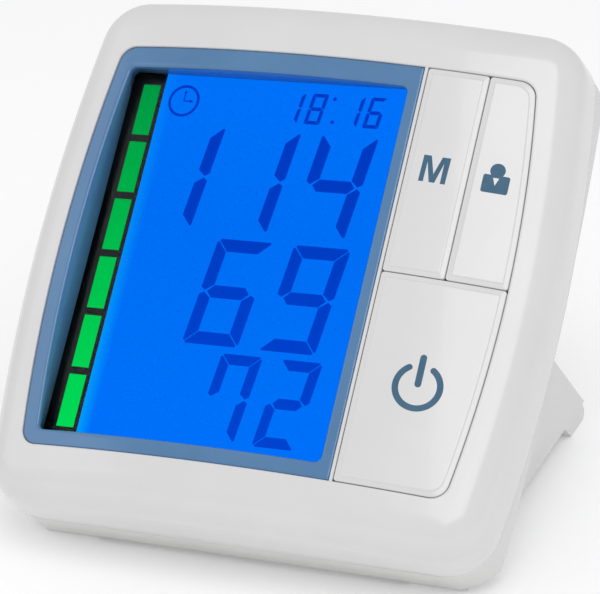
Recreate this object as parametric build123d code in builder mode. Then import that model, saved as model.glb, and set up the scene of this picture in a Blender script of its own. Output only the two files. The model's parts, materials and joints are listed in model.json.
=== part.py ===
from build123d import *
from math import cos, radians, sin, sqrt
import os

# Upper arm blood pressure monitor that stands on its own battery leg.
# Millimetres, +Z up, front towards -Y, origin on the resting surface under the
# centre of the object. Most places are given as X, distance up the sloping face
# and depth below the crown line of the face.

# How the face lies
lean = radians(46.2)
face_height = 71.0
face_setback = -11.81

# Front housing
wall = 2.2
face_radius = 287.0
rim_half_width = 68.9
rim_above = 68.6
rim_below = 67.4
rim_bow = 420.0
rim_corner = 13.0
rim_depth = 22.0
rim_round = 9.5
draft = 2.0

# Panel opening, which the bezel and the three keys fill
panel_half_width = 59.0
panel_half_height = 53.2
panel_bow = 352.0
panel_corner = 4.5
rib_centre = 27.8
rib_width = 0.8
rib_sink = 0.15
well_wall = 1.4
well_depth = 4.5

# Rear housing with its battery leg and feet
pan_depth = 34.0
pan_slope = 6.0
parting_step = 0.3
sill_depth = 32.5
sill_run = 5.0
base_height = 4.6
leg_half_width = 55.5
leg_top = 2.0
tip_round = 3.5
foot_width = 14.5
foot_bottom = 9.0
foot_ramp = 7.0
foot_round = 2.0
rear_foot_bottom = 12.0

# Screws between the housings: X and distance up the slope
housing_screw_spots = [(-50.0, 60.4), (50.0, 60.4), (-33.0, -60.4), (33.0, -60.4)]
boss_radius = 3.5
boss_foot = 25.0
sleeve_radius = 4.6
screw_seat = 28.0
screw_radius = 1.45
screw_head_radius = 2.8
screw_head_height = 1.9
screw_length = 13.0
screw_clearance = 0.05
screw_recess_clearance = 0.4

# Display: its plane turns a little to follow the curve of the face
display_x = -15.0
display_depth = 7.9
display_turn = radians(3.83)
bezel_right = 27.3
bezel_gap = 0.1
bezel_sink = 0.5
bezel_skin = 1.6
bezel_wall = 1.2
bezel_rim_depth = 3.2
bezel_edge_round = 0.35
aperture_left = -51.5
aperture_right = 24.1
aperture_bottom = -49.0
aperture_top = 47.7
aperture_corner = 1.6
clip_width = 7.0
clip_reach = 1.0
clip_spots = [(-58.0, 18.0), (-58.0, -18.0), (-40.0, 52.0), (0.0, 52.0), (-40.0, -52.0), (0.0, -52.0)]
window_thickness = 1.3
window_overlap = 0.6
window_gap = 0.1
glass_left = -39.0
glass_right = 40.6
glass_bottom = -51.2
glass_top = 49.6
glass_thickness = 2.8
light_margin = 2.6
light_gap = 0.3
light_thickness = 3.9
holder_wall = 1.1
holder_gap = 0.1
holder_top = 0.25
holder_ledge = 1.4
holder_floor = 1.2
holder_corner = 1.5
strip_width = 1.5
strip_end = 6.0
strip_edge = 1.1
strip_gap = 0.1

# Main board, parallel to the display, and what is soldered to it
board_depth = 11.5
board_thickness = 1.6
board_left = -44.0
board_right = 74.0
board_half_height = 58.4
board_corner = 6.0
board_tab_half = 4.5
board_tab_left = -50.2
board_tab_right = 79.2
board_notch_gap = 0.6
board_hole_gap = 0.2
board_post_spots = [(-12.0, 56.0), (32.0, 56.0), (-12.0, -56.0), (32.0, -56.0)]
board_post_radius = 2.6
side_post_x = 61.5
side_post_radius = 2.3
board_screw_radius = 1.2
board_screw_length = 7.0
board_screw_head_radius = 2.2
board_screw_head_height = 1.4
switch_size = 6.0
switch_height = 3.4
plunger_radius = 1.6
plunger_rise = 0.9
plunger_sunk = 2.4
plunger_gap = 0.3
chip_size = 14.0
chip_height = 1.4
chip_x = 14.0
chip_up = 14.0
chip_lead_count = 10
chip_lead_pitch = 1.2
chip_lead_width = 0.5
chip_lead_reach = 1.2
chip_lead_height = 0.4
buzzer_radius = 6.0
buzzer_height = 4.0
buzzer_x = 44.0
buzzer_up = -24.0
buzzer_hole = 1.0
capacitor_radius = 2.5
capacitor_height = 6.0
capacitor_spots = [(-8.0, 32.0), (0.0, 32.0)]

# Keys: they travel straight into the face
key_gap = 0.3
key_split_x = 43.7
key_split_up = 0.0
key_half_split = 0.2
key_skin = 2.0
key_wall = 1.1
key_skirt = 4.0
key_step = 0.2
key_step_width = 1.3
key_rib = 1.0
key_travel = 0.5
key_stem_radius = 2.2
key_corner = 0.8
hook_width = 6.0
hook_reach = 1.1
hook_height = 1.0
hook_gap = 0.3
hook_root = 1.5
memory_spot = (36.1, 26.6)
user_spot = (51.2, 26.6)
power_spot = (43.7, -26.6)

# Battery bay in the leg; the cells lie along X, two rows of two
cell_radius = 7.1
cell_length = 50.2
cell_nub_radius = 2.75
cell_nub_height = 1.0
cell_clearance = 0.1
bay_half_length = 53.0
bay_front = 42.2
bay_divider = 2.8
bay_wall = 2.2
bay_floor = 1.4
door_thickness = 1.8
door_gap = 0.3
door_ledge = 1.3
door_over_cells = 0.6
door_lip_half = 30.0
door_lip_thickness = 1.2
door_lip_depth = 2.7
door_grip_half = 10.0
door_grip_from_edge = 5.0
door_grip_count = 3
door_grip_pitch = 2.6
door_grip_width = 1.3
door_grip_depth = 0.6
contact_thickness = 0.4
contact_width = 11.0
spring_wire = 0.35
spring_length = 4.8
spring_turns = 2.5
spring_base_radius = 3.4
spring_lean = -14.0

# Air pump in the leg, its shaft along X
pump_up = -30.0
pump_depth = 41.0
pump_radius = 12.1
pump_skin = 0.8
can_left = 15.0
can_right = 44.0
magnet_thickness = 2.0
magnet_margin = 5.0
magnet_slot = 4.0
armature_radius = 8.5
armature_margin = 8.0
shaft_radius = 1.0
shaft_clearance = 0.3
shaft_end = 1.5
head_left = -7.0
head_cavity_left = 1.0
head_cavity_radius = 10.6
crank_left = 8.0
crank_width = 4.0
crank_radius = 4.5
crank_pin_radius = 0.9
crank_pin_offset = 2.8
crank_pin_length = 2.0
diaphragm_thickness = 1.2
diaphragm_cup_radius = 2.6
diaphragm_cup_height = 2.4
diaphragm_cup_ring = 5.6
nozzle_radius = 1.9
nozzle_length = 5.0
nozzle_bore = 0.8
saddle_thickness = 1.5
saddle_left = 20.0
saddle_right = 39.0
cradle_thickness = 2.0
cradle_spots = [24.0, 35.0]
cradle_half_width = 9.0

# Release valve, a small solenoid along X
valve_left = -46.0
valve_right = -27.0
valve_half_height = 6.0
valve_half_depth = 7.0
valve_nozzle_length = 2.0
yoke_thickness = 1.5
seat_radius = 1.5
seat_length = 1.5
coil_radius = 4.5
coil_end = 0.6
core_radius = 2.4
core_clearance = 0.3
core_rest_gap = 1.5
core_cap_radius = 4.2
core_cap_thickness = 0.8
core_cap_gap = 2.2
valve_cradle_spots = [-42.0, -33.0]
valve_cradle_top = 16.5

# Air lines
manifold_left = -22.0
manifold_right = -16.0
manifold_half = 3.2
tube_outer = 2.5
tube_bore = 1.95
tube_bend = 4.2
tube_end_gap = 0.2
branch_length = 2.5
sensor_size = 9.0
sensor_height = 3.6
sensor_nozzle_radius = 1.6
sensor_nozzle_length = 3.0
leak_radius = 2.8
leak_length = 6.0
leak_screw_radius = 1.2
leak_screw_depth = 1.0

# Sockets in the left side of the leg
air_socket_up = -41.0
air_socket_depth = 41.0
air_socket_radius = 4.2
air_socket_flange_radius = 6.0
air_socket_flange_height = 1.6
air_socket_bore = 2.2
air_socket_bore_length = 10.0
air_socket_length = 12.0
power_jack_up = -26.0
power_jack_depth = 55.0
jack_radius = 4.4
jack_flange_radius = 5.4
jack_flange_height = 0.8
jack_bore = 3.0
jack_bore_depth = 9.0
jack_pin_radius = 1.0
jack_length = 12.5
port_clearance = 0.1

# Planes that the rest is built on
clear = 300.0
work_depth = 40.0
beyond = 70.0
face = Plane(origin=(0, face_setback, face_height), x_dir=(1, 0, 0), z_dir=(0, -cos(lean), sin(lean)))
across = Plane(origin=face.origin, x_dir=(1, 0, 0), z_dir=-face.y_dir)
display_origin = face.from_local_coords(Vector(display_x, 0, -display_depth))
display = Plane(
    origin=display_origin,
    x_dir=face.x_dir * cos(display_turn) + face.z_dir * sin(display_turn),
    z_dir=face.z_dir * cos(display_turn) - face.x_dir * sin(display_turn),
)


def level(height):
    """Plane parallel to the face, at a height above its crown line."""
    return face.offset(height)


def leg_level(up_slope):
    """Plane square to the face and along X; its Y runs back into the leg."""
    origin = face.from_local_coords(Vector(0, up_slope, 0))
    return Plane(origin=origin, x_dir=(1, 0, 0), z_dir=face.y_dir)


def yz(up_slope, depth):
    """World Y and Z of a point up the slope and below the crown line."""
    y = face_setback + up_slope * sin(lean) + depth * cos(lean)
    z = face_height + up_slope * cos(lean) - depth * sin(lean)
    return (y, z)


def depth_at(world_z, up_slope):
    """Depth at which a line square to the face meets a world height."""
    return (face_height + up_slope * cos(lean) - world_z) / sin(lean)


def rectangle(plane, left, right, bottom, top, corner=0.0):
    """Rectangle given by its four sides, its corners rounded if asked."""
    with BuildSketch(plane) as panel:
        with Locations(((left + right) / 2, (bottom + top) / 2)):
            Rectangle(right - left, top - bottom)
        if corner > 0:
            fillet(panel.vertices(), corner)
    return panel.sketch


def block(plane, left, right, bottom, top, height):
    """Box that stands on a plane."""
    with BuildPart() as box:
        extrude(rectangle(plane, left, right, bottom, top), amount=height)
    return box.part


def rod(plane, spots, radius, height):
    """Round bars that stand on a plane."""
    with BuildPart() as bars:
        with BuildSketch(plane):
            with Locations(*spots):
                Circle(radius)
        extrude(amount=height)
    return bars.part


def rod_x(start, end, centre, radius):
    """Round bar along X about a world Y and Z."""
    return rod(Plane.YZ.offset(start), [centre], radius, end - start)


def bowed_outline(plane, half_width, top, bottom, bow, corner):
    """Outline with straight top and bottom and bowed sides."""
    top_half = half_width - bow + sqrt(bow**2 - top**2)
    bottom_half = half_width - bow + sqrt(bow**2 - bottom**2)
    with BuildSketch(plane) as outline:
        with BuildLine():
            Line((-bottom_half, -bottom), (bottom_half, -bottom))
            ThreePointArc((bottom_half, -bottom), (half_width, 0), (top_half, top))
            Line((top_half, top), (-top_half, top))
            ThreePointArc((-top_half, top), (-half_width, 0), (-bottom_half, -bottom))
        make_face()
        fillet(outline.vertices(), corner)
    return outline.sketch


def rim_outline(plane, inset):
    """Outline of the housings at the parting plane, drawn in by inset."""
    return bowed_outline(
        plane,
        rim_half_width - inset,
        rim_above - inset,
        rim_below - inset,
        rim_bow - inset,
        rim_corner - inset,
    )


def panel_outline(grow):
    """Outline of the panel opening, grown on every side."""
    return bowed_outline(
        level(-work_depth),
        panel_half_width + grow,
        panel_half_height + grow,
        panel_half_height + grow,
        panel_bow + grow,
        panel_corner + grow,
    )


def under_face(sink):
    """Everything below the curved face, lowered by sink."""
    with BuildPart() as solid:
        with BuildSketch(across):
            with Locations((0, -face_radius)):
                Circle(face_radius - sink)
        extrude(amount=clear, both=True)
    return solid.part


def face_slab(inset):
    """Form of the front housing, drawn in on every side."""
    with BuildPart() as slab:
        extrude(rim_outline(level(-rim_depth), inset), amount=rim_depth + wall, taper=draft)
        add(under_face(inset), mode=Mode.INTERSECT)
        crown = slab.faces().sort_by(Axis(face.origin, face.z_dir))[-1]
        fillet(crown.edges(), rim_round - inset)
    return slab.part


def rear_form(inset):
    """Form of the rear housing, drawn in on every side and open at the parting plane."""
    above = rim_above - parting_step
    below = rim_below - parting_step
    sill = yz(-below, sill_depth)
    leg_tip = depth_at(base_height, leg_top)
    sides = rim_half_width - parting_step
    overrun = rim_depth - 2 * wall
    with BuildPart() as form:
        with BuildSketch(Plane.YZ):
            with BuildLine():
                Polyline(
                    yz(above, overrun),
                    yz(above, rim_depth),
                    yz(above - pan_slope, pan_depth),
                    yz(leg_top, pan_depth),
                    yz(leg_top, leg_tip),
                    (sill[0] + sill_run, base_height),
                    sill,
                    yz(-below, overrun),
                    close=True,
                )
            make_face()
            if inset > 0:
                offset(amount=-inset, kind=Kind.INTERSECTION)
        extrude(amount=clear, both=True)
        with BuildSketch(across):
            with BuildLine():
                Polyline(
                    (-sides, -overrun),
                    (-sides, -rim_depth),
                    (-sides + pan_slope, -pan_depth),
                    (-leg_half_width, -pan_depth),
                    (-leg_half_width, -clear),
                    (leg_half_width, -clear),
                    (leg_half_width, -pan_depth),
                    (sides - pan_slope, -pan_depth),
                    (sides, -rim_depth),
                    (sides, -overrun),
                    close=True,
                )
            make_face()
            if inset > 0:
                offset(amount=-inset, kind=Kind.INTERSECTION)
        extrude(amount=clear, both=True, mode=Mode.INTERSECT)
        extrude(rim_outline(level(-clear), inset + parting_step), amount=clear, mode=Mode.INTERSECT)
    return form.part


def display_rectangle(height, left, right, bottom, top, corner=0.0):
    """Rectangle in a plane parallel to the display."""
    return rectangle(display.offset(height), left, right, bottom, top, corner)


def display_block(low, high, left, right, bottom, top):
    """Box between two heights above the display."""
    return block(display.offset(low), left, right, bottom, top, high - low)


def display_place(x, height):
    """Display-plane X of a point that lies at a given face X and display height."""
    return (x - display_x + height * sin(display_turn)) / cos(display_turn)


def column(profile):
    """Tall prism of an outline, square to the face."""
    with BuildPart() as prism:
        extrude(profile, amount=work_depth + wall)
    return prism.part


def face_band(solid, top_sink, bottom_sink):
    """Part of a solid that lies between two surfaces that follow the face."""
    with BuildPart() as band:
        add(solid)
        add(under_face(top_sink), mode=Mode.INTERSECT)
        add(under_face(bottom_sink), mode=Mode.SUBTRACT)
    return band.part


def clip_ring(gap, thickness, reach):
    """Ring of hooks that catch under the wall round the panel opening."""
    foot = well_depth + hook_gap + hook_height
    with BuildPart() as ring:
        add(face_band(column(panel_outline(-gap)), hook_root, foot))
        add(face_band(column(panel_outline(reach - gap)), well_depth + hook_gap, foot))
        add(column(panel_outline(-gap - thickness)), mode=Mode.SUBTRACT)
    return ring.part


def clips(ring, spots, width):
    """Short lengths of a ring, one at each spot."""
    with BuildPart() as lengths:
        with BuildSketch(level(-work_depth)):
            with Locations(*spots):
                Rectangle(width, width)
        extrude(amount=work_depth + wall)
        add(ring, mode=Mode.INTERSECT)
    return lengths.part


# Front housing: one moulding with the curved face, the panel opening, a wall round
# it that guides the keys, a thin rib beside the display, and posts for the screws
board_top = -board_depth
board_bottom = board_top - board_thickness
side_posts = [(display_place(-side_post_x, board_top), 0), (display_place(side_post_x, board_top), 0)]
board_posts = board_post_spots + side_posts

with BuildPart() as front_room:
    add(face_slab(wall / 2))
    extrude(rim_outline(level(-pan_depth), wall), amount=pan_depth - rim_depth)

with BuildPart() as front_posts:
    add(rod(level(-boss_foot), housing_screw_spots, boss_radius, boss_foot))
    add(rod(display.offset(board_top), board_post_spots, board_post_radius, boss_foot))
    add(rod(display.offset(board_top), side_posts, side_post_radius, boss_foot))
    add(front_room.part, mode=Mode.INTERSECT)

rib_profile = rectangle(
    level(-work_depth),
    rib_centre - rib_width / 2,
    rib_centre + rib_width / 2,
    -panel_half_height - well_wall / 2,
    panel_half_height + well_wall / 2,
)

with BuildPart() as front_housing:
    add(face_slab(0.0))
    add(face_slab(wall), mode=Mode.SUBTRACT)
    add(front_posts.part)
    add(face_band(column(panel_outline(well_wall)), wall / 2, well_depth))
    add(column(panel_outline(0.0)), mode=Mode.SUBTRACT)
    add(face_band(column(rib_profile), rib_sink, well_depth))
    add(
        rod(level(-boss_foot), housing_screw_spots, screw_radius + screw_clearance, screw_length),
        mode=Mode.SUBTRACT,
    )
    add(
        rod(display.offset(board_top), board_posts, board_screw_radius + screw_clearance, board_screw_length),
        mode=Mode.SUBTRACT,
    )

front_housing.part.label = "front_housing"
export_step(front_housing.part, "parts/front_housing.step")


# Display bezel: coloured frame that follows the face, with a well round the display
# and six clips that catch under the front housing
inner_wall_foot = window_thickness + holder_top + window_gap


def bezel_column(inset):
    """Column with the bezel's outline, drawn in by inset."""
    with BuildPart() as shape:
        add(column(panel_outline(-bezel_gap - inset)))
        split(bisect_by=Plane.YZ.offset(bezel_right - inset), keep=Keep.BOTTOM)
    return shape.part


def aperture(grow, corner):
    """Outline of the hole over the display, grown on every side."""
    return rectangle(
        level(-work_depth),
        aperture_left - grow,
        aperture_right + grow,
        aperture_bottom - grow,
        aperture_top + grow,
        corner,
    )


with BuildPart() as bezel_well:
    add(column(aperture(bezel_wall, 0.0)))
    add(under_face(bezel_sink + bezel_skin / 2), mode=Mode.INTERSECT)
    add(
        display_block(inner_wall_foot - work_depth, inner_wall_foot, -beyond, beyond, -beyond, beyond),
        mode=Mode.SUBTRACT,
    )

with BuildPart() as display_bezel:
    add(face_band(bezel_column(0.0), bezel_sink, bezel_rim_depth))
    add(
        face_band(bezel_column(bezel_wall), bezel_sink + bezel_skin, bezel_rim_depth + wall),
        mode=Mode.SUBTRACT,
    )
    add(bezel_well.part)
    add(clips(clip_ring(bezel_gap, bezel_wall, clip_reach), clip_spots, clip_width))
    add(column(aperture(0.0, aperture_corner)), mode=Mode.SUBTRACT)

display_bezel.part.label = "display_bezel"
export_step(display_bezel.part, "parts/display_bezel.step")


# Clear window over the display, resting on the display holder
glass_x = (glass_left + glass_right) / 2
glass_up = (glass_bottom + glass_top) / 2
glass_width = glass_right - glass_left
glass_height = glass_top - glass_bottom

with BuildPart() as display_window:
    with BuildSketch(display.offset(holder_top)):
        with Locations((glass_x, glass_up)):
            RectangleRounded(glass_width + 2 * window_overlap, glass_height + 2 * window_overlap, holder_corner)
    extrude(amount=window_thickness)

display_window.part.label = "display_window"
export_step(display_window.part, "parts/display_window.step")


# Display glass, its back light, and the two conductive rubber strips that join the
# glass to the board
with BuildPart() as lcd_panel:
    with BuildSketch(display.offset(-glass_thickness)):
        with Locations((glass_x, glass_up)):
            Rectangle(glass_width, glass_height)
    extrude(amount=glass_thickness)

with BuildPart() as backlight:
    with BuildSketch(display.offset(-glass_thickness - light_gap - light_thickness)):
        with Locations((glass_x, glass_up)):
            Rectangle(glass_width - 2 * light_margin, glass_height - 2 * light_margin)
    extrude(amount=light_thickness)

strip_offset = glass_height / 2 - strip_edge
strip_spots = [(glass_x, glass_up - strip_offset), (glass_x, glass_up + strip_offset)]
strip_length = glass_width - 2 * strip_end


def strips(grow):
    """The two strips between board and glass, thickened by grow on every side."""
    with BuildPart() as pair:
        with BuildSketch(display.offset(board_top)):
            with Locations(*strip_spots):
                Rectangle(strip_length + 2 * grow, strip_width + 2 * grow)
        extrude(amount=board_depth - glass_thickness)
    return pair.part


with BuildPart() as contact_strips:
    add(strips(0.0))

lcd_panel.part.label = "lcd_panel"
export_step(lcd_panel.part, "parts/lcd_panel.step")
backlight.part.label = "backlight"
export_step(backlight.part, "parts/backlight.step")
contact_strips.part.label = "contact_strips"
export_step(contact_strips.part, "parts/contact_strips.step")


# Display holder: frame that stands on the board, with a ledge under the glass and a
# floor under the back light
light_foot = -glass_thickness - light_gap - light_thickness
frame_width = glass_width + 2 * (holder_gap + holder_wall)
frame_height = glass_height + 2 * (holder_gap + holder_wall)

with BuildPart() as display_holder:
    with BuildSketch(display.offset(board_top)):
        with Locations((glass_x, glass_up)):
            RectangleRounded(frame_width, frame_height, holder_corner)
    extrude(amount=board_depth + holder_top)
    with BuildSketch(display.offset(-glass_thickness)):
        with Locations((glass_x, glass_up)):
            Rectangle(glass_width + 2 * holder_gap, glass_height + 2 * holder_gap)
    extrude(amount=glass_thickness + holder_top, mode=Mode.SUBTRACT)
    with BuildSketch(display.offset(light_foot)):
        with Locations((glass_x, glass_up)):
            Rectangle(glass_width - 2 * holder_ledge, glass_height - 2 * holder_ledge)
    extrude(amount=board_depth, mode=Mode.SUBTRACT)
    with BuildSketch(display.offset(board_top)):
        with Locations((glass_x, glass_up)):
            Rectangle(glass_width + 2 * holder_gap, glass_height + 2 * holder_gap)
    extrude(amount=light_foot - holder_floor - board_top, mode=Mode.SUBTRACT)
    add(strips(strip_gap), mode=Mode.SUBTRACT)

display_holder.part.label = "display_holder"
export_step(display_holder.part, "parts/display_holder.step")


# Main board, screwed up into the posts of the front housing, with notches for the
# housing screw bosses
boss_places = [(display_place(x, board_top), up) for x, up in housing_screw_spots]

with BuildPart() as main_board:
    with BuildSketch(display.offset(board_bottom)) as board_outline:
        with Locations(((board_left + board_right) / 2, 0)):
            RectangleRounded(board_right - board_left, 2 * board_half_height, board_corner)
        with Locations(((board_tab_left + board_tab_right) / 2, 0)):
            Rectangle(board_tab_right - board_tab_left, 2 * board_tab_half)
        with Locations(*boss_places):
            Circle(boss_radius + board_notch_gap, mode=Mode.SUBTRACT)
        with Locations(*board_posts):
            Circle(board_screw_radius + board_hole_gap, mode=Mode.SUBTRACT)
    extrude(amount=board_thickness)

main_board.part.label = "main_board"
export_step(main_board.part, "parts/main_board.step")


# Screws: six hold the board, four hold the housings together from behind
with BuildPart() as board_screws:
    with BuildSketch(display.offset(board_bottom)):
        with Locations(*board_posts):
            Circle(board_screw_radius)
    extrude(amount=board_screw_length)
    with BuildSketch(display.offset(board_bottom - board_screw_head_height)):
        with Locations(*board_posts):
            Circle(board_screw_head_radius)
    extrude(amount=board_screw_head_height)

with BuildPart() as housing_screws:
    with BuildSketch(level(-screw_seat)):
        with Locations(*housing_screw_spots):
            Circle(screw_radius)
    extrude(amount=screw_length)
    with BuildSketch(level(-screw_seat - screw_head_height)):
        with Locations(*housing_screw_spots):
            Circle(screw_head_radius)
    extrude(amount=screw_head_height)

board_screws.part.label = "board_screws"
export_step(board_screws.part, "parts/board_screws.step")
housing_screws.part.label = "housing_screws"
export_step(housing_screws.part, "parts/housing_screws.step")


# Three push switches on the board; their plungers carry the keys
plunger_top = board_top + switch_height + plunger_rise
key_spots = [memory_spot, user_spot, power_spot]
switch_places = [(display_place(x, plunger_top), up) for x, up in key_spots]

with BuildPart() as switch_bases:
    with BuildSketch(display.offset(board_top)):
        with Locations(*switch_places):
            Rectangle(switch_size, switch_size)
    extrude(amount=switch_height)
    with BuildSketch(display.offset(board_top + switch_height - plunger_sunk)):
        with Locations(*switch_places):
            Circle(plunger_radius + plunger_gap)
    extrude(amount=switch_height, mode=Mode.SUBTRACT)

switch_bases.part.label = "switch_bases"
export_step(switch_bases.part, "parts/switch_bases.step")

plunger_foot = board_top + switch_height - plunger_sunk + key_travel + plunger_gap

with BuildPart() as memory_plunger:
    add(rod(display.offset(plunger_foot), switch_places[0:1], plunger_radius, plunger_top - plunger_foot))

with BuildPart() as user_plunger:
    add(rod(display.offset(plunger_foot), switch_places[1:2], plunger_radius, plunger_top - plunger_foot))

with BuildPart() as power_plunger:
    add(rod(display.offset(plunger_foot), switch_places[2:3], plunger_radius, plunger_top - plunger_foot))

memory_plunger.part.label = "memory_plunger"
export_step(memory_plunger.part, "parts/memory_plunger.step")
user_plunger.part.label = "user_plunger"
export_step(user_plunger.part, "parts/user_plunger.step")
power_plunger.part.label = "power_plunger"
export_step(power_plunger.part, "parts/power_plunger.step")


# Keys: thin caps that follow the face, each with a stepped edge, a skirt, two ribs, a
# stem on its switch and hooks under the wall round the opening
def key_column(sides, inset):
    """Column with a key's outline, drawn in by inset."""
    left, right, bottom, top = sides
    profile = rectangle(
        level(-work_depth),
        left + inset,
        right - inset,
        bottom + inset,
        top - inset,
        key_corner,
    )
    with BuildPart() as shape:
        add(column(profile))
        add(column(panel_outline(-key_gap - inset)), mode=Mode.INTERSECT)
    return shape.part


def key_cap(sides, spot, place, hooks):
    """Whole key over one switch."""
    x, up = spot
    with BuildPart() as ribs:
        with BuildSketch(level(-work_depth)):
            with Locations((x, up)):
                Rectangle(2 * beyond, key_rib)
                Rectangle(key_rib, 2 * beyond)
        extrude(amount=work_depth + wall)
        add(key_column(sides, key_wall / 2), mode=Mode.INTERSECT)
    with BuildPart() as stem:
        add(rod(display.offset(plunger_top), [place], key_stem_radius, work_depth))
        add(under_face(key_skin / 2), mode=Mode.INTERSECT)
    with BuildPart() as cap:
        add(face_band(key_column(sides, 0.0), key_step, key_skirt))
        add(face_band(key_column(sides, key_wall), key_skin, key_skirt + wall), mode=Mode.SUBTRACT)
        add(face_band(key_column(sides, key_step_width), 0.0, key_skin / 2))
        add(face_band(ribs.part, key_skin / 2, key_skirt - key_rib))
        add(stem.part)
        add(clips(clip_ring(key_gap, key_wall, hook_reach), hooks, hook_width))
    return cap.part


key_left = rib_centre + rib_width / 2 + key_gap
upper_floor = key_split_up + key_half_split
memory_sides = (key_left, key_split_x - key_half_split, upper_floor, beyond)
user_sides = (key_split_x + key_half_split, beyond, upper_floor, beyond)
power_sides = (key_left, beyond, -beyond, key_split_up - key_half_split)
key_edge_x = panel_half_width - key_gap
key_edge_up = panel_half_height - key_gap

with BuildPart() as memory_button:
    add(key_cap(memory_sides, memory_spot, switch_places[0], [(memory_spot[0], key_edge_up)]))

with BuildPart() as user_button:
    user_hooks = [(user_spot[0], key_edge_up), (key_edge_x, user_spot[1])]
    add(key_cap(user_sides, user_spot, switch_places[1], user_hooks))

with BuildPart() as power_button:
    power_hooks = [(power_spot[0], -key_edge_up), (key_edge_x, power_spot[1])]
    add(key_cap(power_sides, power_spot, switch_places[2], power_hooks))

memory_button.part.label = "memory_button"
export_step(memory_button.part, "parts/memory_button.step")
user_button.part.label = "user_button"
export_step(user_button.part, "parts/user_button.step")
power_button.part.label = "power_button"
export_step(power_button.part, "parts/power_button.step")


# Soldered to the back of the board: controller chip, buzzer, two capacitors and the
# pressure sensor with its nozzle
sensor_place = ((manifold_left + manifold_right) / 2, pump_up)
sensor_middle = board_bottom - sensor_height - sensor_nozzle_length / 2
sensor_spot = (display_place(sensor_place[0], sensor_middle), sensor_place[1])

with BuildPart() as control_chip:
    with BuildSketch(display.offset(board_bottom)):
        with Locations((chip_x, chip_up)):
            Rectangle(chip_size, chip_size)
    extrude(amount=-chip_height)
    with BuildSketch(display.offset(board_bottom)):
        with Locations((chip_x, chip_up)):
            with GridLocations(0, chip_lead_pitch, 1, chip_lead_count):
                Rectangle(chip_size + 2 * chip_lead_reach, chip_lead_width)
            with GridLocations(chip_lead_pitch, 0, chip_lead_count, 1):
                Rectangle(chip_lead_width, chip_size + 2 * chip_lead_reach)
    extrude(amount=-chip_lead_height)

with BuildPart() as buzzer:
    with BuildSketch(display.offset(board_bottom)):
        with Locations((buzzer_x + -display_x, buzzer_up)):
            Circle(buzzer_radius)
    extrude(amount=-buzzer_height)
    with BuildSketch(display.offset(board_bottom - buzzer_height / 2)):
        with Locations((buzzer_x + -display_x, buzzer_up)):
            Circle(buzzer_hole)
    extrude(amount=-buzzer_height, mode=Mode.SUBTRACT)

with BuildPart() as capacitors:
    with BuildSketch(display.offset(board_bottom)):
        with Locations(*capacitor_spots):
            Circle(capacitor_radius)
    extrude(amount=-capacitor_height)

with BuildPart() as pressure_sensor:
    with BuildSketch(display.offset(board_bottom)):
        with Locations(sensor_spot):
            Rectangle(sensor_size, sensor_size)
    extrude(amount=-sensor_height)
    with BuildSketch(display.offset(board_bottom - sensor_height)):
        with Locations(sensor_spot):
            Circle(sensor_nozzle_radius)
    extrude(amount=-sensor_nozzle_length)
    with BuildSketch(display.offset(board_bottom - sensor_height)):
        with Locations(sensor_spot):
            Circle(nozzle_bore)
    extrude(amount=-sensor_nozzle_length, mode=Mode.SUBTRACT)

control_chip.part.label = "control_chip"
export_step(control_chip.part, "parts/control_chip.step")
buzzer.part.label = "buzzer"
export_step(buzzer.part, "parts/buzzer.step")
capacitors.part.label = "capacitors"
export_step(capacitors.part, "parts/capacitors.step")
pressure_sensor.part.label = "pressure_sensor"
export_step(pressure_sensor.part, "parts/pressure_sensor.step")


# Rear housing: pan behind the parting plane, battery leg, four moulded feet, battery
# bay, screw sleeves, cradles for pump and valve, and two holes for the sockets
bay_rows = [
    bay_front + cell_clearance + cell_radius,
    bay_front + 3 * cell_clearance + 3 * cell_radius + bay_divider,
]
bay_back = bay_rows[1] + cell_radius + cell_clearance
cell_up = leg_top - door_thickness - door_over_cells - cell_radius
bay_bottom = cell_up - cell_radius - cell_clearance
rebate_floor = leg_top - door_thickness
pump_centre = yz(pump_up, pump_depth)
cushion_radius = pump_radius + saddle_thickness
sill_y, sill_z = yz(-(rim_below - parting_step), sill_depth)
tip_y, tip_z = yz(leg_top, depth_at(0.0, leg_top))


def foot_profile(start, run, front_ramp, back_ramp):
    """Side view of a foot, from its front ramp to its back one."""
    with BuildSketch(Plane.YZ) as profile:
        with BuildLine():
            Polyline(
                (start - front_ramp, base_height + wall),
                (start, 0),
                (start + run, 0),
                (start + run + back_ramp, base_height + wall),
                close=True,
            )
        make_face()
        fillet(profile.vertices().group_by(Axis.Y)[0], foot_round)
    return profile.sketch


def port_plane(up_slope, depth):
    """Plane on the left side of the leg, facing out, at a socket's centre."""
    y, z = yz(up_slope, depth)
    return Plane(origin=(-leg_half_width, y, z), x_dir=(0, 1, 0), z_dir=(-1, 0, 0))


def cradle_wall(x, top):
    """Upright wall on the floor of the leg, square to X, before it is hollowed."""
    middle = pump_centre[0]
    profile = rectangle(Plane.YZ.offset(x), middle - cradle_half_width, middle + cradle_half_width, 0, top)
    with BuildPart() as upright:
        extrude(profile, amount=cradle_thickness)
    return upright.part


def valve_block(grow):
    """Space of the valve, grown round its sides."""
    return block(
        leg_level(pump_up - valve_half_height - grow),
        valve_left,
        valve_right,
        pump_depth - valve_half_depth - grow,
        pump_depth + valve_half_depth + grow,
        2 * (valve_half_height + grow),
    )


air_plane = port_plane(air_socket_up, air_socket_depth)
jack_plane = port_plane(power_jack_up, power_jack_depth)

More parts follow.
